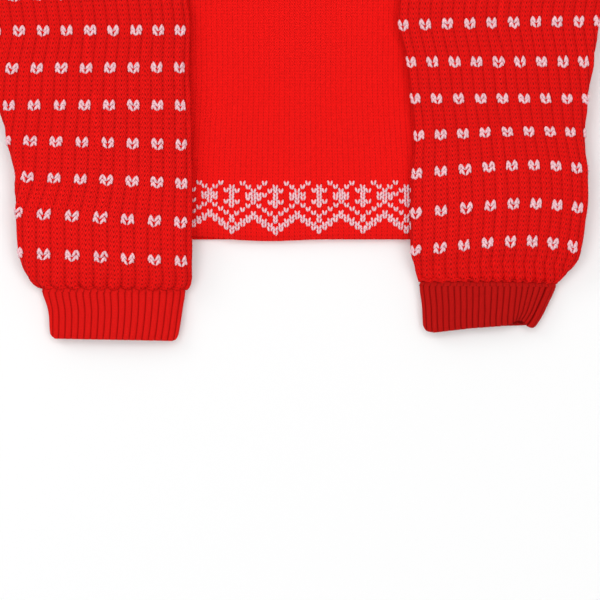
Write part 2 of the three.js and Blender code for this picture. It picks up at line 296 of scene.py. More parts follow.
CORD_SIDES = 12
CORD_SQUARE = 0.8
STEPS_A_TURN = 4
PLIES_OUT = 0.16  # how far the two plies stand out, as a share of the cord's half width
CORD_END = 0.6  # share of its width that a cord keeps at its two ends


def cord(name, path, radii, material, twist=4.0):
    """A closed length of two-ply yarn or of linked seam along a path: radii are its half width and its
    half height, twist the length of a turn of its plies."""
    run = run_of(path)
    count = max(int(run[-1] / (twist / STEPS_A_TURN)), 4)
    where = np.linspace(0, run[-1], count + 1)
    path = np.stack([np.interp(where, run, path[:, k]) for k in range(3)], 1)
    ahead = unit(np.gradient(path, axis=0))
    aside = unit(np.cross(ahead, (0, 0, 1)))
    above = np.cross(aside, ahead)
    turn = np.arange(CORD_SIDES) / CORD_SIDES * 2 * math.pi
    ply = 1 + PLIES_OUT * np.cos(2 * (turn[None] - math.pi * where[:, None] / twist))
    ply *= np.where((where > 0) & (where < run[-1]), 1, CORD_END)[:, None]
    flat = squared(np.cos(turn), CORD_SQUARE)[None] * ply * radii[0]
    tall = squared(np.sin(turn), CORD_SQUARE)[None] * ply * radii[1]
    rings = path[:, None] + aside[:, None] * flat[..., None] + above[:, None] * tall[..., None]
    faces = tube_faces(np.arange((count + 1) * CORD_SIDES).reshape(-1, CORD_SIDES))
    piece = new_piece(name, rings.reshape(-1, 3), faces, material)
    select(piece)
    bpy.ops.object.mode_set(mode="EDIT")
    bpy.ops.mesh.select_all(action="SELECT")
    bpy.ops.mesh.normals_make_consistent(inside=False)
    bpy.ops.object.mode_set(mode="OBJECT")
    bpy.ops.object.shade_smooth_by_angle(angle=math.radians(60))
    piece.select_set(False)
    return piece


def sampled(grid, rows, columns, around):
    """A grid's values between its points, at fractional rows and columns."""
    high, wide = grid.shape[:2]
    row = np.clip(np.floor(rows).astype(int), 0, high - 2)
    column = np.floor(columns).astype(int)
    if not around:
        column = np.clip(column, 0, wide - 2)
    down = (rows - row)[..., None]
    over = (columns - column)[..., None]
    left, right = column % wide, (column + 1) % wide
    return (
        grid[row, left] * (1 - down) * (1 - over)
        + grid[row, right] * (1 - down) * over
        + grid[row + 1, left] * down * (1 - over)
        + grid[row + 1, right] * down * over
    )


LEG_STEPS = np.array([0.0, 0.28, 0.72, 1.0])  # where a leg's four rings lie along it
LEG_BOW = np.array([0.5, 1.0, 1.0, 0.6])  # share of its lift that each of them has
LEG_SIDES = 6
LEG_FOOT = 0.08  # wales from the middle of its wale to a leg's foot
LEG_SPARE = 0.06  # courses left free at either end of a leg


def yarn_legs(name, lines, normals, radius, material, ends=0.45):
    """Short lengths of yarn, each a closed spindle along its own line of four points."""
    ahead = unit(np.gradient(lines, axis=1))
    aside = unit(np.cross(ahead, normals))
    above = np.cross(aside, ahead)
    girth = radius * np.array([ends, 1.0, 1.0, ends])[None, :, None, None]
    turn = np.arange(LEG_SIDES) / LEG_SIDES * 2 * math.pi
    around = aside[:, :, None] * np.cos(turn)[:, None] + above[:, :, None] * np.sin(turn)[:, None]
    vertices = lines[:, :, None] + around * girth
    rings = np.arange(vertices[..., 0].size).reshape(vertices.shape[:3])
    faces = [face for leg in rings for face in tube_faces(leg)]
    piece = new_piece(name, vertices.reshape(-1, 3), faces, material)
    select(piece)
    bpy.ops.object.shade_smooth()
    piece.select_set(False)
    return piece


def stitch_legs(surface, legs, lift, clear, jitter):
    """Lines and normals of yarn legs on knitting. A leg is (wale, course, side, start, reach): from the
    foot of a stitch at the middle of its wale, or from a later start, to its shoulder, reach wales
    out. Legs stand lift above the knitting, at least clear above the ground, and jitter about."""
    points, normals, row_of, column_of, around = surface
    legs = np.asarray(legs, float)
    wale, course, side, start, reach = (legs[:, k, None] for k in range(5))
    share = start + (1 - start) * LEG_STEPS[None]
    wales = wale + side * (LEG_FOOT + (reach - LEG_FOOT) * share**0.8)
    courses = course + LEG_SPARE + (RISE - 2 * LEG_SPARE) * share
    rows, columns = row_of(wales, courses), column_of(wales)
    where = sampled(points, rows, columns, around)
    upright = unit(sampled(normals, rows, columns, around))
    where = where + upright * (lift * LEG_BOW[None, :, None])
    where[:, :, 2] = np.maximum(where[:, :, 2], clear)
    return where + rng.normal(0, jitter, (len(legs), 1, 3)), upright


# ---- Materials ----


def linear(code):
    """An sRGB hex colour as linear RGBA."""
    shares = [int(code[k : k + 2], 16) / 255 for k in (0, 2, 4)]
    return [s / 12.92 if s <= 0.04045 else ((s + 0.055) / 1.055) ** 2.4 for s in shares] + [1.0]


def add(tree, kind, inputs=None, output=0, **settings):
    """Adds a node with its settings. An input is a value or another node's output."""
    node = tree.nodes.new(kind)
    for key, value in settings.items():
        setattr(node, key, value)
    for key, value in (inputs or {}).items():
        if isinstance(value, bpy.types.NodeSocket):
            tree.links.new(value, node.inputs[key])
        else:
            node.inputs[key].default_value = value
    return node.outputs[output]


def calculated(tree, operation, *values):
    return add(tree, "ShaderNodeMath", dict(enumerate(values)), operation=operation)


def mapped(tree, value, start, end, low=0.0, high=1.0, curve="LINEAR"):
    """low where the value is at its start, high where it is at its end."""
    inputs = {0: value, 1: start, 2: end, 3: low, 4: high}
    return add(tree, "ShaderNodeMapRange", inputs, interpolation_type=curve)


def mixed(tree, share, first, second):
    return add(tree, "ShaderNodeMix", {0: share, 6: first, 7: second}, output=2, data_type="RGBA")


def noise(tree, scale, detail):
    place = add(tree, "ShaderNodeTexCoord", output=3)
    return add(tree, "ShaderNodeTexNoise", {"Vector": place, "Scale": scale, "Detail": detail})


def material(name, roughness, sheen, sheen_tint):
    """A new material's node tree and its shader. Fibres scatter light, so the highlight is faint."""
    made = bpy.data.materials.new(name)
    made.use_nodes = True
    tree = made.node_tree
    shader = tree.nodes["Principled BSDF"]
    look = {"Roughness": roughness, "IOR": 1.46, "Specular IOR Level": 0.1, "Sheen Weight": sheen}
    look |= {"Sheen Roughness": 0.45, "Sheen Tint": linear(sheen_tint)}
    for key, value in look.items():
        shader.inputs[key].default_value = value
    return made, tree, shader


def coat(tree, shader, colour, **bump):
    tree.links.new(colour, shader.inputs["Base Color"])
    tree.links.new(add(tree, "ShaderNodeBump", bump), shader.inputs["Normal"])


def knitting(name, colours, relief, feet, shoulders, gap, lines=0.0, grooves=0.0):
    """Knitted acrylic, in the colours of its yarn, of its yarn's shade and of painted shade in its
    holes. Every stitch is a V of two yarn legs, relief millimetres high. The other numbers say how
    much painted shade darkens the holes at the feet of the legs and at their shoulders, the gaps
    between the legs, the lines between wales and the groove on every second wale."""
    made, tree, shader = material(name, 0.85, 0.0, "ff5a4a")
    light, shade, painted_hole_shade = (linear(code) for code in colours)
    stitches = add(tree, "ShaderNodeUVMap", uv_map="Stitches")
    wale = add(tree, "ShaderNodeSeparateXYZ", {0: stitches})
    course = wale.node.outputs[1]
    # Yarn never lies dead straight, so the stitches wander within patches 5 mm wide.
    sway = calculated(tree, "MULTIPLY_ADD", noise(tree, 210.0, 1.0), 0.30, course)
    # A leg climbs from the middle of its wale to the wale's edge, and repeats a course further up.
    from_edge = calculated(tree, "PINGPONG", wale, 0.5)
    climb = calculated(tree, "MULTIPLY_ADD", from_edge, 2 * RISE, sway)
    from_gap = calculated(tree, "PINGPONG", climb, 0.5)
    girth = mapped(tree, from_gap, 0.0, 0.36, curve="SMOOTHSTEP")
    at_shoulders = mapped(tree, from_edge, 0.12, 0.0, 0.0, shoulders)
    at_feet = mapped(tree, from_edge, 0.34, 0.45, 0.0, feet)
    ends = calculated(tree, "MAXIMUM", at_shoulders, at_feet)
    height = calculated(tree, "MULTIPLY", girth, mapped(tree, ends, 0.0, 1.0, 1.0, 0.55))
    # Painted shade: the gaps between the legs darken towards the shade colour, and the holes at the
    # legs' feet and shoulders darken towards the painted hole shade.
    gap_shade = mapped(tree, girth, 0.0, 0.7, gap, 0.0)
    painted_shade = calculated(tree, "MULTIPLY", mapped(tree, girth, 0.0, 0.8, 1.0, 0.0), ends)
    # More painted shade along the lines between wales and in the groove on every second wale.
    if lines:
        line = mapped(tree, from_edge, 0.16, 0.03, 0.0, lines)
        painted_shade = calculated(tree, "MAXIMUM", painted_shade, line)
    if grooves:
        low = calculated(tree, "PINGPONG", calculated(tree, "ADD", wale, -0.5), 1.0)
        groove = mapped(tree, low, 0.6, 1.0, 0.0, grooves, "SMOOTHSTEP")
        painted_shade = calculated(tree, "MAXIMUM", painted_shade, groove)
    # Fibres catch the light unevenly within about a millimetre.
    fibre = noise(tree, 900.0, 2.0)
    shaded = calculated(tree, "MAXIMUM", mapped(tree, fibre, 0.3, 0.7, 0.0, 0.35), gap_shade)
    colour = mixed(tree, painted_shade, mixed(tree, shaded, light, shade), painted_hole_shade)
    legs = add(tree, "ShaderNodeBump", {"Height": height, "Distance": relief / 1000, "Strength": 1.0})
    coat(tree, shader, colour, Height=fibre, Distance=0.00025, Strength=0.5, Normal=legs)
    return made


def yarn(name, light, shade):
    """Loose acrylic yarn with a soft halo, its fibres in tufts 0.9 mm wide."""
    made, tree, shader = material(name, 0.85, 0.25, "ffffff")
    fibre = noise(tree, 1100.0, 2.0)
    colour = mixed(tree, mapped(tree, fibre, 0.35, 0.7), linear(light), linear(shade))
    coat(tree, shader, colour, Height=fibre, Distance=0.0003, Strength=0.6)
    return made


def woven(name, light, shade):
    """Woven polyester label tape, with threads 0.4 mm apart, drawn at 0.8 mm so that they show."""
    made, tree, shader = material(name, 0.6, 0.05, "ffffff")
    place = add(tree, "ShaderNodeTexCoord", output=3)
    threads = {"Vector": place, "Scale": 1250.0, 1: linear(light), 2: linear(shade)}
    checks = add(tree, "ShaderNodeTexChecker", threads)
    coat(tree, shader, checks, Height=checks.node.outputs[1], Distance=0.0001, Strength=0.5)
    return made


# Small even Vs in bright red, with painted shade in the holes and hardly a line of painted shade
# between the wales: the flattest of the knits.
PLAIN_KNIT = knitting(
    "Red acrylic stocking stitch",
    ("f91411", "e4110e", "760706"),
    relief=0.30, feet=0.15, shoulders=0.95, gap=0.35, lines=0.13,
)
# Coarse stitches in fat upright ridges, with painted shade in the holes and a groove on every
# second wale that is both sunk and darkened with painted shade.
THICK_RIB = knitting(
    "Red acrylic half-fisherman rib",
    ("f91411", "d8110e", "6c0706"),
    relief=0.55, feet=0.95, shoulders=0.6, gap=0.5, grooves=0.28,
)
# Narrow ridges packed tightly, which read as a deeper red, with fine lines of painted shade
# between them and painted shade in the holes.
NARROW = dict(relief=0.2, feet=0.15, shoulders=1.0, gap=0.3, lines=0.42)
FINE_RIB = knitting("Red acrylic one-by-one rib", ("e01411", "c4110e", "6a0706"), **NARROW)
# The same rib darkened with painted shade for the right cuff, which lies in shade: dull and
# almost brick red.
PAINTED_SHADE_COLOURS = ("be110e", "a20e0b", "5a0605")
PAINTED_SHADE_RIB = knitting("Red acrylic one-by-one rib, painted shade", PAINTED_SHADE_COLOURS, **NARROW)
# Matt and a little duller than the knitting, so that seams show without standing out.
RED_YARN = yarn("Red acrylic linking yarn", "e01916", "b81310")
# Fluffy off-white with pinkish tufts: the pink is painted red bounce light, standing in for what
# the red knitting around it throws into its shades.
WHITE_YARN = yarn("White acrylic yarn", "fbd3d9", "dfa9b2")
# A close, smooth weave: the only surface with a faint gloss.
LABEL_TAPE = woven("White woven polyester tape", "f4f2ec", "dedbd2")

# ---- Body panels ----

PANEL_ROWS = 200
COLUMNS_A_WALE = 2  # one on the wale's middle and one between wales
WALE_SINK = 0.45  # how far the knitting sinks between wales
PULLED = 0.09  # above the band the wales lie closer in the middle, and wider at the side seams
DROOP, DROOP_FROM = 4.5, 22.0  # how far the front's hem sinks, and from how high above it
CURL, CURL_FROM = 1.6, 3.0  # the same for the last courses, which curl under
RIPPLE = 0.8
HEM_FLAT = 60.0  # above this height the courses don't follow the hem's wave


def half_width(y):
    up = np.clip((y - UNDERARM_Y) / (SHOULDER_Y - UNDERARM_Y), 0, None)
    below = HEM_HALF_WIDTH + (CHEST_HALF_WIDTH - HEM_HALF_WIDTH) * y / UNDERARM_Y
    above = CHEST_HALF_WIDTH + (SHOULDER_HALF_WIDTH - CHEST_HALF_WIDTH) * up
    return np.where(y < UNDERARM_Y, below, above)


def top_y(x, drop):
    """How high a panel reaches at x of its upper edge, on a shoulder or on the neckline."""
    x = np.abs(x)
    out = (x - NECK_HALF_WIDTH) / (SHOULDER_HALF_WIDTH - NECK_HALF_WIDTH)
    shoulder = NECK_Y + (SHOULDER_Y - NECK_Y) * out
    neck = NECK_Y - drop * np.sqrt(np.clip(1 - (x / NECK_HALF_WIDTH) ** 2, 0, 1))
    return np.where(x > NECK_HALF_WIDTH, shoulder, neck)


def front_lift(side, up, y):
    """Height of the front panel's underside, which closes on the back panel beside the neckline."""
    armhole = np.clip((y - UNDERARM_Y) / (SHOULDER_Y - UNDERARM_Y), 0, 1)
    at_edge = ARMHOLE_AIR * np.sin(math.pi * armhole)
    neck_side = NECK_HALF_WIDTH / SHOULDER_HALF_WIDTH
    closing = smooth((np.abs(side) - 0.7 * neck_side) / (0.3 * neck_side)) * up**10
    side = np.abs(side) ** 4
    return FABRIC + GAP + (TORSO_AIR * (1 - side) + at_edge * side) * (1 - closing)


def ripples(x, y):
    """Shallow waves, as knitting lies after it has been folded."""
    return RIPPLE * (
        0.5 * np.sin(x / 23 + y / 61 + 1.1) * np.sin(y / 47 - 0.4)
        + 0.3 * np.sin(x / 13 - y / 37 + 2.0)
        + 0.2 * np.sin(x / 9 + y / 90 + 0.5)
    )


def hem_wave(x):
    """How far the front's hem lies below a straight line: it dips, and rises towards the left."""
    return 1.4 * np.exp(-(((x + 22) / 25) ** 2)) - 2.4 * smooth((-x - 44) / 42)


def panel(drop, front):
    """A panel's points and stitches, and its surface for the legs of its pattern."""
    columns = COLUMNS_A_WALE * WALES
    wales = np.linspace(0, WALES, columns + 1)[None]
    side = 2 * wales / WALES - 1
    up = np.linspace(0, 1, PANEL_ROWS + 1)[:, None]
    top = top_y(side * SHOULDER_HALF_WIDTH, drop)
    height = up * top
    pulled = PULLED * smooth((height - 20) / 110) * (1 - up**4)
    x = side * half_width(height) * (1 - pulled * (1 - side**2))
    x = x + (side * SHOULDER_HALF_WIDTH - side * half_width(top)) * up**4
    sunk = np.where(np.arange(columns + 1) % COLUMNS_A_WALE == 0, WALE_SINK, 0.0)[None]
    if front:
        y = height - hem_wave(x) * np.clip(1 - height / HEM_FLAT, 0, 1)
        droop = DROOP * np.clip(1 - height / DROOP_FROM, 0, 1) ** 2 * (1 - side**4)
        curl = CURL * np.clip(1 - height / CURL_FROM, 0, 1) ** 2 * smooth(4 * (1 - np.abs(side)))
        z = front_lift(side, up, y) + FABRIC - sunk - droop - curl
        z = z + ripples(x, y) * smooth(4.2 * (1 - np.abs(side))) * smooth(y / 30)
    else:
        y = height
        z = np.zeros_like(x) + sunk + 0.05
    points = np.stack([x, y, z], 2)
    courses = np.minimum(height, BAND_TOP) / BAND_COURSE + np.maximum(height - BAND_TOP, 0) / COURSE
    courses = courses + COURSE_START
    stitches = grid_of(wales, courses + 0.5 - RISE)
    normals = normals_of(points, False) * (1 if front else -1)

    def row_of(wale, course):
        place = np.clip(wale / WALES * 2 - 1, -1, 1) * SHOULDER_HALF_WIDTH
        return (course - COURSE_START) * BAND_COURSE / top_y(place, drop) * PANEL_ROWS

    return points, stitches, (points, normals, row_of, lambda wale: wale * COLUMNS_A_WALE, False)


front_points, front_stitches, front_surface = panel(FRONT_NECK_DROP, True)
front = cloth("front_knit", front_points, front_stitches, PLAIN_KNIT, PANEL_WALL)
back_points, back_stitches, back_surface = panel(BACK_NECK_DROP, False)
back = cloth("back_knit", back_points, back_stitches, PLAIN_KNIT, PANEL_WALL, turned=True)

# The patterned band is worked over eight wales. Rows count up from the middle of the stars.
BAND_WALES = 8
STAR = 49  # the wale in the middle of one star
STAR_COURSE = 9  # and the course of row 0
BAND_CHART = {  # the rows that are white in each wale, out from the middle of a star
    0: (4, 3, 2, 1, -2, -3),
    1: (5, 3, 2, 0, -3, -4),
    2: (6, -1, -4, -5),
    3: (4, 1, -2, -5, -6),
    4: (5, 4, 3, 2, 1, 0, -3, -4, -6, -7),
}
BAND_YARN = 0.84  # half the thickness of the band's white yarn


def band_stitches():
    stitches = {
        (middle + side * out, row)
        for middle in range(STAR - 7 * BAND_WALES, STAR + 8 * BAND_WALES, BAND_WALES)
        for side in (-1, 1)
        for out, rows in BAND_CHART.items()
        for row in rows
    }
    return {(wale, row) for wale, row in stitches if 0 <= wale < WALES}


def band_yarn(name, surface, stitches, lift, jitter):
    legs = [
        (wale + 0.5, row + STAR_COURSE, side, 0.06, 0.38)
        for wale, row in sorted(stitches)
        for side in (-1, 1)
    ]
    lines, upright = stitch_legs(surface, legs, lift, 1.0, jitter)
    return yarn_legs(name, lines, upright, BAND_YARN, WHITE_YARN)


# The front has two white stitches that its pattern hasn't.
front_band = band_stitches() | {(43, 3), (67, 3)}
front_pattern = band_yarn("front_band_yarn", front_surface, front_band, 0.35, 0.14)
back_pattern = band_yarn("back_band_yarn", back_surface, band_stitches(), -0.4, 0.06)

# ---- Sleeves ----

TURNS = np.linspace(0, 2 * math.pi, 241)


def tube_points(centre, half, lift, places):
    """Points round flattened sections: places are how far round each point lies, 0 to 1 over the face
    from the inner to the outer edge and 1 to 2 under the back."""
    rows = []
    for c, w, t, place in zip(centre, half, lift, places):
        flat = -np.linalg.norm(w) * squared(np.cos(TURNS))
        tall = np.linalg.norm(t) * squared(np.sin(TURNS))
        run = run_of(np.stack([flat, tall], 1))
        turn = np.interp(place / 2 * run[-1], run, TURNS)
        rows.append(c - np.outer(squared(np.cos(turn)), w) + np.outer(squared(np.sin(turn)), t))
    return np.array(rows)


def sections(rows, sign):
    """Middles, half widths and half heights of sections given as edges, lower and upper faces."""
    inner_x, inner_y, outer_x, outer_y, low, high = np.asarray(rows, float).T
    zero = np.zeros_like(low)
    centre = np.stack([sign * (inner_x + outer_x) / 2, (inner_y + outer_y) / 2, (low + high) / 2], 1)
    half = np.stack([sign * (outer_x - inner_x) / 2, (outer_y - inner_y) / 2, zero], 1)
    lift = np.stack([zero, zero, (high - low) / 2], 1)
    return centre, half, lift


# The armhole's upper and lower end, and at each of them the way out of it.
ARMHOLE = np.array([SHOULDER_HALF_WIDTH, SHOULDER_Y, CHEST_HALF_WIDTH, UNDERARM_Y])
ARMHOLE_RUN = np.array([SHOULDER_Y - UNDERARM_Y, CHEST_HALF_WIDTH - SHOULDER_HALF_WIDTH])
ARMHOLE_OUT = np.tile(unit(ARMHOLE_RUN), 2)


def sleeve_way(sign, keys):
    """The sleeve's sections from the wrist over the fold to the armhole, how far along they lie, and
    where the fold starts and ends."""
    last = np.array(keys[-1])
    over, under = HINGE_Z + FOLD_CENTRE, HINGE_Z - FOLD_CENTRE  # the sleeve's middle at the fold
    fold = np.array([*FOLD_SHOULDER, *FOLD_UNDERARM, over - FOLD_HALF, over + FOLD_HALF])
    # The sleeve stays as full as on the body until just before the fold, where it flattens.
    near = last + (fold - last) * 0.9
    near[4:] = 16.4, 31.0
    middle = last + (fold - last) * 0.45
    middle[4:] = 14.6, 29.8
    upper = sections(through([*keys, middle, near, fold], np.linspace(0, 1, 700)), sign)

    line = FOLD_UNDERARM - FOLD_SHOULDER
    out = unit(np.array([-line[1], line[0]]))
    angle = np.linspace(math.pi / 2, -math.pi / 2, 40)[1:-1]
    outwards = np.stack([sign * out[0] * np.cos(angle), out[1] * np.cos(angle), np.sin(angle)], 1)
    pivot = np.array([*upper[0][-1][:2], HINGE_Z])
    halves = np.repeat(upper[1][-1:], len(angle), 0)
    turning = (pivot + outwards * FOLD_CENTRE, halves, outwards * FOLD_HALF)

    armhole = ARMHOLE + ARMHOLE_OUT * (2 * GAP + SEAM)
    turned = [*fold[:4], under - FOLD_HALF, under + FOLD_HALF]
    full = [*(fold[:4] * 0.72 + armhole * 0.28), 0.6, 15.4]  # where the head is thickest
    start = [*armhole, GAP, SEAM_TOP + ARMHOLE_AIR]
    head = sections(through([turned, full, start], np.linspace(0, 1, 60)), sign)
    head[2][:] *= -1
    parts = [np.vstack(group) for group in zip(upper, turning, head)]
    reach = run_of(parts[0])
    return parts, reach, reach[len(upper[0]) - 1], reach[len(upper[0]) + len(angle)]


# Soft slanting hollows where the sleeves have been pushed together: middle x and y, angle in degrees,
# half length, half width and depth.
CREASES = (
    (-196, 78, 62, 42, 5.5, 1.5),
    (-176, 96, 58, 34, 5, 1.3),
    (-208, 118, 66, 30, 5, 1),
    (-158, 112, 64, 30, 6, 0.8),
    (196, 60, 96, 40, 7, 1),
    (150, 118, 84, 36, 9, 0.7),
)


def creases(x, y):
    total = np.zeros_like(x)
    for middle_x, middle_y, angle, long, wide, deep in CREASES:
        a = math.radians(angle)
        forward = (x - middle_x) * math.cos(a) + (y - middle_y) * math.sin(a)
        aside = -(x - middle_x) * math.sin(a) + (y - middle_y) * math.cos(a)
        total += deep * np.exp(-((forward / long) ** 2) - (aside / wide) ** 2)
    return total


SLEEVE_STEP = 2.45  # from one row of points to the next
SLEEVE_COLUMNS_A_WALE = 3
RIB_DEPTH = 1.55  # from a groove to the top of a rib
GATHERED = 1.2  # how much deeper the ribs are where they are gathered into the cuff
TURNED_OVER = 0.6  # and how much shallower where the sleeve folds
UNEVEN = 0.175  # how much higher or lower a stitch may lie
INSIDE = 0.35  # from the section's outline to the tops of the ribs
SLEEVE_SEAM_INSET = 8.5
FLECK_COURSES = 8  # from one row of flecks to the next
FLECK_WALES = 4  # from one fleck to the next in a row
FLECK_YARN = 1.02


def sleeve(name, sign, keys, first_wale, shown, fan, bulge, course_at):
    (centre, half, lift), reach, fold_start, fold_end = sleeve_way(sign, keys)
    count = int(reach[-1] / SLEEVE_STEP)
    distance = np.linspace(0, reach[-1], count + 1)
    centre, half, lift = (
        np.stack([np.interp(distance, reach, values[:, k]) for k in range(3)], 1)
        for values in (centre, half, lift)
    )
    courses = along(course_at, distance)
    columns = SLEEVE_COLUMNS_A_WALE * SLEEVE_WALES
    wales = np.arange(columns)[None] / SLEEVE_COLUMNS_A_WALE
    visible = 2 * along(shown, courses)[:, None]
    past = (wales - along(first_wale, courses)[:, None]) % SLEEVE_WALES
    share = past / visible
    places = np.where(
        share < 1,
        share * (1 + along(fan, courses)[:, None] * (share - 1)),
        1 + (past - visible) / (SLEEVE_WALES - visible),
    )
    points = tube_points(centre, half, lift, places)
    # A bulging course is highest nearer its outer edge.
    across = np.where(places < 1, np.sin(math.pi * np.minimum(places, 1) ** 1.45), 0)
    points[:, :, 1] += along(bulge, courses)[:, None] * across
    normals, turned = outward(points)
    # Ribs stand up on every second wale, and they puff out where they are gathered into the cuff.
    gathered = np.exp(-(((courses - 2.0) / 2.6) ** 2))[:, None]
    turning = smooth(1 - np.abs(distance - (fold_start + fold_end) / 2) / 30)[:, None]
    depth = RIB_DEPTH + GATHERED * gathered - TURNED_OVER * turning
    profile = np.abs(np.sin(math.pi * (wales - 0.5) / 2)) ** 4
    row = courses[:, None]
    uneven = UNEVEN * (np.sin(wales * 0.9 + row * 0.35) + np.sin(row * 0.8 + wales * 2.1))
    face = (places < 1) & (distance[:, None] < fold_start - 60)
    hollow = np.where(face, creases(points[:, :, 0], points[:, :, 1]), 0)
    points = points - normals * (depth * profile + INSIDE + uneven + hollow)[:, :, None]
    normals = normals_of(points, True) * (-1 if turned else 1)
    wales = np.arange(columns + 1)[None] / SLEEVE_COLUMNS_A_WALE
    stitches = grid_of(wales, row + 0.5 - RISE)
    first = int(np.searchsorted(distance, fold_start - 3))
    last = int(np.searchsorted(distance, fold_end + 3))
    pieces = {}
    for part, start, stop in (("sleeve", 0, first), ("fold", first, last), ("head", last, count)):
        rows = slice(start, stop + 1)
        knit = (points[rows], stitches[rows], THICK_RIB, SLEEVE_WALL, True, turned)
        pieces[part] = cloth(f"{name}_{part}_knit", *knit)

    # The seam runs inside the tube along its outer edge, from near the fold to near the wrist.
    kept = (distance > 12) & (distance < fold_start - 8)
    inset = 1 - SLEEVE_SEAM_INSET / np.linalg.norm(half[kept], axis=1, keepdims=True)
    path = centre[kept] + half[kept] * inset
    pieces["seam"] = cord(f"{name}_sleeve_seam_yarn", path, (1.2, 1.2), RED_YARN)

    # Flecks: two courses of white on every second rib and on the near half of the wales beside it.
    def row_of(wale, course):
        where, which = zip(*course_at)
        return np.interp(course, which, where) / reach[-1] * count + 0 * wale

    surface = (points, normals, row_of, lambda wale: wale * SLEEVE_COLUMNS_A_WALE, True)
    flecks = {"sleeve": [], "fold": [], "head": []}
    for course in range(FLECK_COURSES, int(courses[-1]) - 3, FLECK_COURSES):
        row = row_of(0, course)
        part = "sleeve" if row < first - 4 else "fold" if row < last else "head"
        for wale in np.arange(0.5, SLEEVE_WALES, FLECK_WALES):
            for step in (0, 1):
                for side in (-1, 1):
                    flecks[part].append((wale, course + step, side, 0, 0.60))
                    flecks[part].append((wale + side, course + step, -side, 0.22 - 0.2 * step, 0.42))
    for part, legs in flecks.items():
        lines, upright = stitch_legs(surface, legs, 0.45, 1.5, 0.24)
        piece = yarn_legs(f"{name}_{part}_flecks", lines, upright, FLECK_YARN, WHITE_YARN, 0.4)
        pieces[f"{part}_flecks"] = piece
    return pieces


# ---- Cuffs ----

# Keys are as a sleeve's, from the wrist down. ribs says how far round the face each rib lies, at the
# wrist and at the open end. face_end and back_end say how far the open end lies above a straight line
# across the cuff, from its inner edge at -1 to its outer edge at 1. Between the two plain ribs the
# knitting is smooth, where the seam comes round to the front.
CUFFS = {
    "left": dict(
        sign=-1,
        keys=[
            (88.8, -34, 192.5, -33.5, 2.2, 11.9),
            (86.2, -40, 194.6, -39.5, 0.7, 13.2),
            (88.2, -54, 190.6, -53, 0.5, 13.4),
            (90.2, -68, 189.2, -67.5, 0.5, 13),
            (91.6, -76.4, 188.4, -75, 0.9, 12.2),
        ],
        ribs=[[(0, 0), (21.4, 1)], [(0, 0), (20.6, 1)]],
        face_end=[(-1, 2.4), (-0.97, 0.6), (-0.92, -0.4), (0.92, 0), (0.97, 0.8), (1, 2.4)],
        back_end=[(-1, 2.4), (-0.92, 0.8), (0.92, 0.8), (1, 2.4)],
        knit=FINE_RIB,
    ),
    "right": dict(
        sign=1,
        keys=[
            (92.5, -28.5, 191.5, -30, 2.2, 11.9),
            (89.7, -35, 193, -36, 0.7, 13.2),
            (91.4, -50, 187.2, -49, 0.5, 13.4),
            (91.9, -61, 181.8, -60, 0.5, 13),
            (92.2, -70, 177.8, -66.4, 0.9, 12.2),
        ],
        ribs=[
            [(0, 0), (16, 0.689), (19, 0.821), (21, 0.914), (23, 1)],
            [(0, 0), (16, 0.791), (19, 0.858), (21, 0.905), (23, 1)],
        ],
        face_end=[
            (-1, 4), (-0.94, 0.6), (-0.8, -0.8), (-0.15, 1.2), (0.4, 1.9), (0.56, 3),
            (0.68, 5.6), (0.76, 5), (0.86, 0.6), (0.92, -0.5), (0.975, -0.6), (1, 0.9),
        ],
        back_end=[(-1, 4), (-0.9, 0.8), (0.4, 2), (0.8, 1.8), (1, 1.4)],
        # The right cuff takes the rib with painted shade.
        knit=PAINTED_SHADE_RIB,
        plain=(21, 25),
    ),
}

CUFF_ROWS = 26
COLUMNS_A_RIB = 6
CUFF_DEPTH = 1.2
CUFF_INSIDE = 0.1
PLAIN_GROOVE = 1.1  # depth of the groove where the plain strip starts
ON_FACE = 0.9999  # the last place on the face, just short of the edge


def cuff(name, sign, keys, ribs, face_end, back_end, knit, plain=None):
    shares = np.linspace(0, 1, CUFF_ROWS + 1)
    centre, half, lift = sections(through(keys, shares), sign)
    columns = COLUMNS_A_RIB * CUFF_RIBS
    rib = np.arange(columns) / COLUMNS_A_RIB
    at_wrist, at_end = (along(knots, rib) for knots in ribs)
    shown = [knots[-1][0] for knots in ribs]
    places = []
    for share in shares:
        edge = shown[0] * (1 - share) + shown[1] * share
        under = 1 + (rib - edge) / (CUFF_RIBS - edge)
        face = at_wrist * (1 - share**1.5) + at_end * share**1.5
        places.append(np.where(rib < edge, np.minimum(face, ON_FACE), under))
    places = np.array(places)
    points = tube_points(centre, half, lift, places)
    # The open end takes its shape over the lower half of the cuff.
    span = (half[:, :2] ** 2).sum(1)[:, None]
    across = ((points[:, :, :2] - centre[:, None, :2]) * half[:, None, :2]).sum(2) / span
    rise = np.where(places < 1, along(face_end, across), along(back_end, across))
    points[:, :, 1] += rise * smooth((shares - 0.55) / 0.45)[:, None]
    normals, turned = outward(points)
    profile = 1 - np.abs(np.sin(math.pi * rib)) ** 0.4
    if plain:
        start, end = plain
        profile = np.where((rib > start) & (rib < end), 0.1 * profile, profile)
        profile = profile + PLAIN_GROOVE * np.clip(1 - np.abs(rib - start) / 0.34, 0, 1)
    # The last courses turn in, which rounds the open end.
    rounding = 0.8 * np.clip((shares - 0.93) / 0.07, 0, 1) ** 2
    depth = CUFF_DEPTH * profile[None] + rounding[:, None] + CUFF_INSIDE
    points = points - normals * depth[:, :, None]
    wales = np.arange(columns + 1)[None] / COLUMNS_A_RIB
    stitches = grid_of(wales, -run_of(centre)[:, None] / CUFF_COURSE)
    up = slice(None, None, -1)
    return cloth(f"{name}_cuff_knit", points[up], stitches[up], knit, CUFF_WALL, True, not turned)


# ---- Linked seams ----

COLUMNS_A_CHAIN = 4  # columns of points for each chain stitch
RING_ROWS = 5
CHAIN_OUT = 0.18  # how far the chain stitches stand out, as a share of the ridge
NECK_TURN = 0.09  # sine of the angle over which the neckband turns from the front to the back


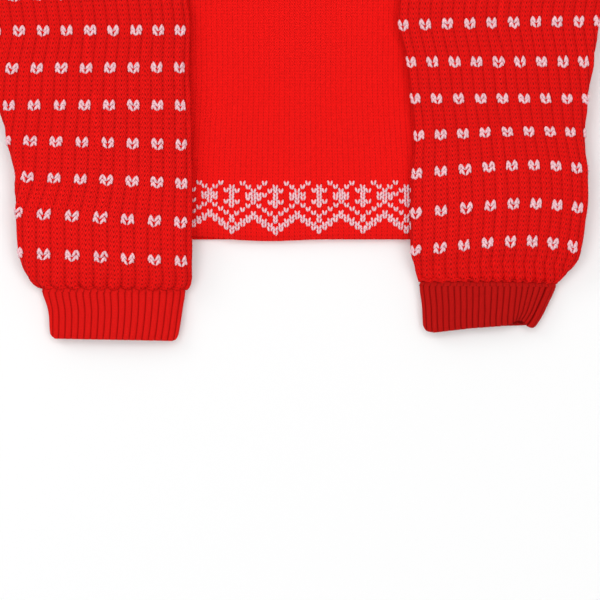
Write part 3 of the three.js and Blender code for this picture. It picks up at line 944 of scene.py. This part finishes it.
def ring_seam(name, keys, sign, stitches_around, bulge, thickness, knit=FINE_RIB):
    """A linked seam round a flattened tube: a low ridge of chain stitches."""
    centre, half, lift = sections(through(keys, np.linspace(0, 1, RING_ROWS)), sign)
    columns = COLUMNS_A_CHAIN * stitches_around
    places = np.repeat(np.linspace(0, 2, columns, endpoint=False)[None], RING_ROWS, 0)
    points = tube_points(centre, half, lift, places)
    normals, turned = outward(points)
    ridge = np.sin(np.linspace(0, math.pi, RING_ROWS))[:, None] * bulge
    turns = np.linspace(0, stitches_around * 2 * math.pi, columns, endpoint=False)
    points = points + normals * (ridge * (1 + CHAIN_OUT * np.cos(turns)[None]))[:, :, None]
    points[:, :, 2] = np.maximum(points[:, :, 2], 0.2)
    wales = np.arange(columns + 1)[None] / COLUMNS_A_CHAIN
    grid = grid_of(wales, np.arange(RING_ROWS)[:, None] / 2)
    return cloth(name, points, grid, knit, thickness, True, turned)


def neck_ring(name, start, end, rise, rows, stitches_around, ridge, rib):
    """A strip round the neckline, from start to end millimetres into the opening, that swells by its
    ridge in the middle and sinks by rib between its stitches."""
    columns = COLUMNS_A_CHAIN * stitches_around
    fine = np.linspace(0, 2 * math.pi, 721)
    drop = np.where(fine < math.pi, FRONT_NECK_DROP, BACK_NECK_DROP)
    run = run_of(np.stack([NECK_HALF_WIDTH * np.cos(fine), drop * np.abs(np.sin(fine))], 1))
    angle = np.interp(np.linspace(0, run[-1], columns, endpoint=False), run, fine)[None]
    in_front = angle < math.pi
    share = np.linspace(0, 1, rows + 1)[:, None]
    into = start + (end - start) * share
    deep = np.where(in_front, FRONT_NECK_DROP, BACK_NECK_DROP) + rise * share
    x = (NECK_HALF_WIDTH - into) * np.cos(angle)
    y = NECK_Y - (deep - into) * np.abs(np.sin(angle)) + rise * share
    # The front half lies on the front panel's level, and the strip turns over beside the neck points.
    level = front_lift(NECK_HALF_WIDTH * np.cos(angle) / SHOULDER_HALF_WIDTH, 1, NECK_Y) + FABRIC
    near = np.clip(np.abs(np.sin(angle)) / NECK_TURN, 0, 1)
    middle = SEAM_TOP / 2
    z = middle + np.where(in_front, level - middle, 0.1 - middle) * np.sqrt(1 - (1 - near) ** 2)
    up = np.where(in_front, 1, -1) * near
    wales = np.arange(columns + 1)[None] / COLUMNS_A_CHAIN
    groove = rib * (1 - np.abs(np.sin(math.pi * wales[:, :-1])) ** 0.5)
    z = np.maximum(z + up * (ridge * np.sin(math.pi * share) * (up > 0) - groove), 0.1)
    grid = grid_of(wales, share * (end - start) / CUFF_COURSE)
    return cloth(name, np.stack([x, y, z], 2), grid, FINE_RIB, NECK_WALL, True, True)


def straight_seam(name, start, end, off):
    """A linked seam beside two panel edges: start and end are points of the plan, off the way out."""
    start, end, off = (np.array([*point, 0.0]) for point in (start, end, off))
    middle = off * (GAP + SEAM / 2) + (0, 0, (GAP + SEAM_TOP) / 2)
    share = np.linspace(0, 1, 60)[:, None]
    path = start * (1 - share) + end * share + middle
    # The plies bulge, so the cord is a little lower than the seam that it draws.
    return cord(name, path, (SEAM / 2 + 0.05, (SEAM_TOP - GAP) / 2 - 0.25), RED_YARN, 5.6)


def torso_seams(name, sign):
    top_share = 1 - 2 * GAP / UNDERARM_Y
    end_share = 0.015  # of a shoulder, left free at either end of its seam
    bottom = np.array([HEM_HALF_WIDTH, 1.0])
    top = np.array([CHEST_HALF_WIDTH, UNDERARM_Y]) * top_share + bottom * (1 - top_share)
    tip, neck = np.array([SHOULDER_HALF_WIDTH, SHOULDER_Y]), np.array([NECK_HALF_WIDTH, NECK_Y])
    shoulder = [tip + (neck - tip) * share for share in (end_share, 1 - end_share)]
    made = []
    for label, (start, end) in (("side", (bottom, top)), ("shoulder", shoulder)):
        way = unit(end - start)
        off = np.array([way[1], -way[0]])
        flip = np.array([sign, 1])
        seam = straight_seam(f"{name}_{label}_seam_yarn", start * flip, end * flip, off * flip)
        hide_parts(f"{name}_{label}_seam")
        made.append(seam)
    return made


def armhole_seam(name, sign):
    heights = (GAP, SEAM_TOP + ARMHOLE_AIR)
    keys = [(*(ARMHOLE + ARMHOLE_OUT * off), *heights) for off in (0.2, 1.0, 1.8, 2.6)]
    return ring_seam(f"{name}_armhole_linking", keys, sign, 84, 0.5, 2.6)


def cuff_linking(name, sign, keys):
    """The ridge that the sleeve and the cuff share, under the sleeve's gathered end."""
    first, second = np.array(keys[0]), np.array(keys[1])
    rows = [first + (second - first) * share for share in (0.1, 0.4, 0.7, 1.0)]
    # A ridge takes its cuff's knit, so the right one carries the same painted shade.
    return ring_seam(f"{name}_cuff_linking_ridge", rows, sign, CUFF_RIBS, 0.1, 1.6, CUFFS[name]["knit"])


# ---- Labels ----


def label(name, centre, size, lift):
    """A woven label on the back panel's inside, lifting a little at its free ends."""
    across, up = np.meshgrid(np.linspace(-0.5, 0.5, 25), np.linspace(-0.5, 0.5, 17))
    z = FABRIC + GAP + 0.5 + lift(across, up)
    points = np.stack([centre[0] + across * size[0], centre[1] + up * size[1], z], 2)
    return cloth(name, points, np.stack([across, up], 2), LABEL_TAPE, 0.45)


def tacks(name, places):
    """Short stitches of sewing yarn over a label's edge, each from one point to another."""
    lines = np.array([np.linspace(start, end, 4) for start, end in places])
    lines[:, 1:3, 2] += 0.25
    upright = np.zeros_like(lines)
    upright[:, :, 2] = 1
    return yarn_legs(name, lines, upright, 0.22, RED_YARN)


NECK_LABEL, NECK_LABEL_Y = (45.6, 19.6), 547.0
CARE_LABEL, CARE_LABEL_Y = (33.6, 44.6), 110.0
CARE_LABEL_X = -0.95 * float(half_width(CARE_LABEL_Y)) + 17


def neck_lift(across, up):
    return 0.15 * (1 - (2 * up) ** 2)


def care_lift(across, up):
    return 0.18 * smooth(across + 0.2)


neck_label = label("neck_label_tape", (0.0, NECK_LABEL_Y), NECK_LABEL, neck_lift)
edge = NECK_LABEL[0] / 2
stitches = [
    ((side * (edge - 1.5), NECK_LABEL_Y + up, 4.0), (side * (edge + 1.0), NECK_LABEL_Y + up, 3.5))
    for side in (-1, 1)
    for up in (-7.5, -2.475, 2.475, 7.5)
]
neck_tacks = tacks("neck_label_tacks", stitches)
care_label = label("care_label_tape", (CARE_LABEL_X, CARE_LABEL_Y), CARE_LABEL, care_lift)

# ---- Everything rides on its body ----


def fitted(piece, body, slot=None, *nodes):
    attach(piece, body)
    if nodes:
        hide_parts(*nodes)


neckband = neck_ring("neckband_rib", 2.9, NECKBAND_HEIGHT, NECKBAND_RISE, 12, 102, 0.3, 0.8)
neck_linking = neck_ring("neckband_linking_ridge", 0.2, 2.7, 0, 5, 120, 0.6, 0.3)
for piece, *slot_and_node in (
    (neckband, "fine_rib_knit", "neckband"),
    (neck_linking, "linking_yarn", "neckband_linking"),
    (neck_label, "woven_label", "neck_label"),
    (neck_tacks, "linking_yarn"),
    (care_label, "woven_label", "care_label"),
    (front, "plain_knit", "front_panel"),
    (back, "plain_knit", "back_panel"),
    (front_pattern,),
    (back_pattern,),
):
    fitted(piece, "garment", *slot_and_node)

CUFF_SEAM_INSET = 7.5
AXIS_X = (FOLD_SHOULDER[0] + FOLD_UNDERARM[0]) / 2000
AXIS_Y = (FOLD_SHOULDER[1] + FOLD_UNDERARM[1]) / 2000 + HEM / 1000
FOLD_REACH = (FOLD_CENTRE + FOLD_HALF) / 1000
for name, values in SLEEVES.items():
    body, sign = f"{name}_sleeve", values["sign"]
    made = sleeve(name, **values)
    cuff_piece = cuff(name, **CUFFS[name])
    fitted(made["sleeve"], body, "thick_rib_knit", f"{name}_sleeve", f"{name}_sleeve_forearm")
    fitted(made["head"], "garment", "thick_rib_knit", f"{name}_sleeve_head")
    fitted(cuff_piece, body, "fine_rib_knit", f"{name}_cuff")
    fitted(made["sleeve_flecks"], body)
    fitted(made["head_flecks"], "garment")
    fitted(made["seam"], body, "linking_yarn", f"{name}_sleeve_seam")
    linking = cuff_linking(name, sign, CUFFS[name]["keys"])
    fitted(linking, body, "linking_yarn", f"{name}_cuff_linking")
    fitted(armhole_seam(name, sign), "garment", "linking_yarn", f"{name}_armhole_seam")
    for seam in torso_seams(name, sign):
        fitted(seam, "garment", "linking_yarn")
    middles, halves, _ = sections(through(CUFFS[name]["keys"], np.linspace(0.25, 0.95, 20)), sign)
    inset = 1 - CUFF_SEAM_INSET / np.linalg.norm(halves, axis=1, keepdims=True)
    cuff_seam = cord(f"{name}_cuff_seam_yarn", middles + halves * inset, (1.0, 1.0), RED_YARN)
    fitted(cuff_seam, body, "linking_yarn", f"{name}_cuff_seam")

    # The fold lies between the sleeve head, on the garment, and the sleeve, on its own body. low and
    # high are the ends of the line through it, and the fold's pieces are baked where they lie.
    low, high = ((sign * AXIS_X, AXIS_Y, HINGE_Z / 1000 + step) for step in (-FOLD_REACH, FOLD_REACH))
    for piece in (made["fold"], made["fold_flecks"]):
        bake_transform(piece)
        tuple(low)
        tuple(high)

# ---- Studio, in metres ----

bpy.ops.mesh.primitive_circle_add(vertices=96, radius=30, fill_type="NGON", location=(0, 0, -0.0002))
floor = bpy.context.object
floor.name = "studio_floor"
# Plain and even, so that the ground reads as pure white beside the shadow.
paper, tree, shader = material("Matt white paper", 0.9, 0.0, "ffffff")
shader.inputs["Base Color"].default_value = linear("f6f6f6")
floor.data.materials.append(paper)
floor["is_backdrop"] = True
floor.select_set(False)

# A white sky with a brighter ring high round it, as a studio's ring of softboxes gives: the shadows
# are short, soft and the same on every side.
SKY, RING = 0.42, 2.1
world = bpy.data.worlds.new("studio")
bpy.context.scene.world = world
world.use_nodes = True
tree = world.node_tree
background = tree.nodes["Background"]
height = add(tree, "ShaderNodeSeparateXYZ", {0: add(tree, "ShaderNodeTexCoord")}, 2)
below = mapped(tree, height, 0.76, 0.86, curve="SMOOTHSTEP")
above = mapped(tree, height, 0.99, 0.93, curve="SMOOTHSTEP")
ring = calculated(tree, "MULTIPLY", below, above)
strength = calculated(tree, "MULTIPLY_ADD", ring, RING, SKY)
tree.links.new(strength, background.inputs["Strength"])
background.inputs["Color"].default_value = (1, 1, 1, 1)


def softbox(name, place, aim, size, power):
    """A square light that points from its place to its aim."""
    light = bpy.data.lights.new(name, "AREA")
    light.size = size
    light.energy = power
    lamp = new_object(name, light)
    lamp.location = place
    lamp.rotation_euler = (Vector(aim) - Vector(place)).to_track_quat("-Z", "Y").to_euler()


softbox("overhead", (-0.4, 0.4, 3.2), (0, -0.2, 0), 2.6, 6)
softbox("upper_left", (-2.2, 1.8, 1.9), (0, -0.2, 0), 1.2, 16)

VIEW_WIDTH = 0.450
VIEW_BELOW_HEM = 45.75  # millimetres from the hem down to the middle of the view
camera_data = bpy.data.cameras.new("camera")
camera_data.lens = 200
camera_data.sensor_width = 36
camera = new_object("camera", camera_data)
away = VIEW_WIDTH * camera_data.lens / camera_data.sensor_width
camera.location = (0, (HEM - VIEW_BELOW_HEM) / 1000, 0.02 + away)
bpy.context.scene.camera = camera
bpy.context.scene.view_settings.view_transform = "Standard"

bpy.context.view_layer.update()
low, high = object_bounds()
{"cad": [list(cad_low), list(cad_high)], "visual": [list(low), list(high)]}
